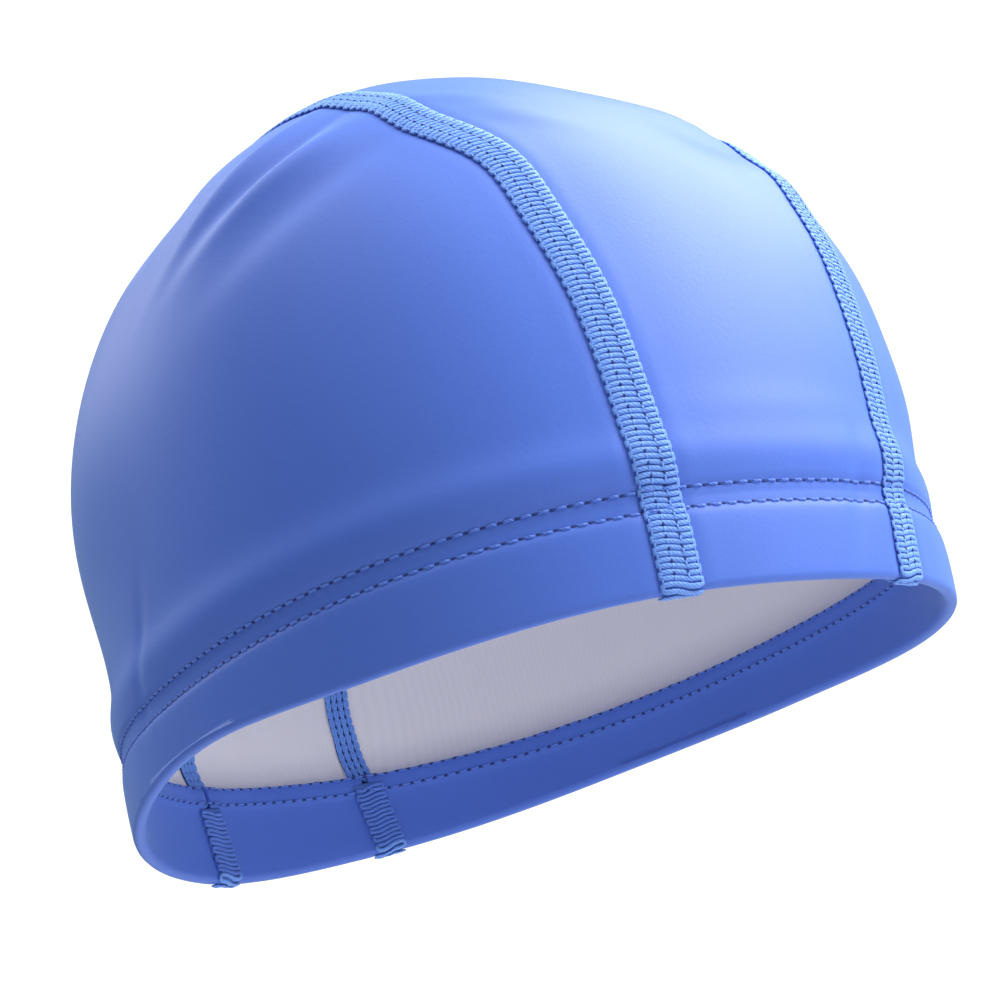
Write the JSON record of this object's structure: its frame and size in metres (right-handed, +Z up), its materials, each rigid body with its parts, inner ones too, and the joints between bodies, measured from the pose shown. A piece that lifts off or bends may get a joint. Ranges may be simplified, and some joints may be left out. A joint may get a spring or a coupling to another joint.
{
  "type": "three-panel swim cap",
  "caption": "Stretch swim cap of two side panels and a centre panel joined by flatlock seams, with a turned-up stitched hem and an open hollow for the head.",
  "frame": {"origin": "middle of the head opening, in the plane of the rim", "axes": "+Z up to the crown, -Y to the front, where the centre panel is widest at the rim, +X to the right side panel"},
  "size_m": [0.1327, 0.1538, 0.1117],
  "materials": {
    "coated_cloth": "smooth matt coating on stretch knit, mid blue",
    "seam_thread": "flatlock polyester thread, light blue with a soft sheen",
    "stitch_thread": "twin-needle sewing thread, blue"
  },
  "bodies": {
    "root": {"side_panel_left": "coated_cloth", "side_panel_right": "coated_cloth", "centre_panel": "coated_cloth", "seam_left": "seam_thread", "seam_right": "seam_thread"}
  },
  "joints": []
}
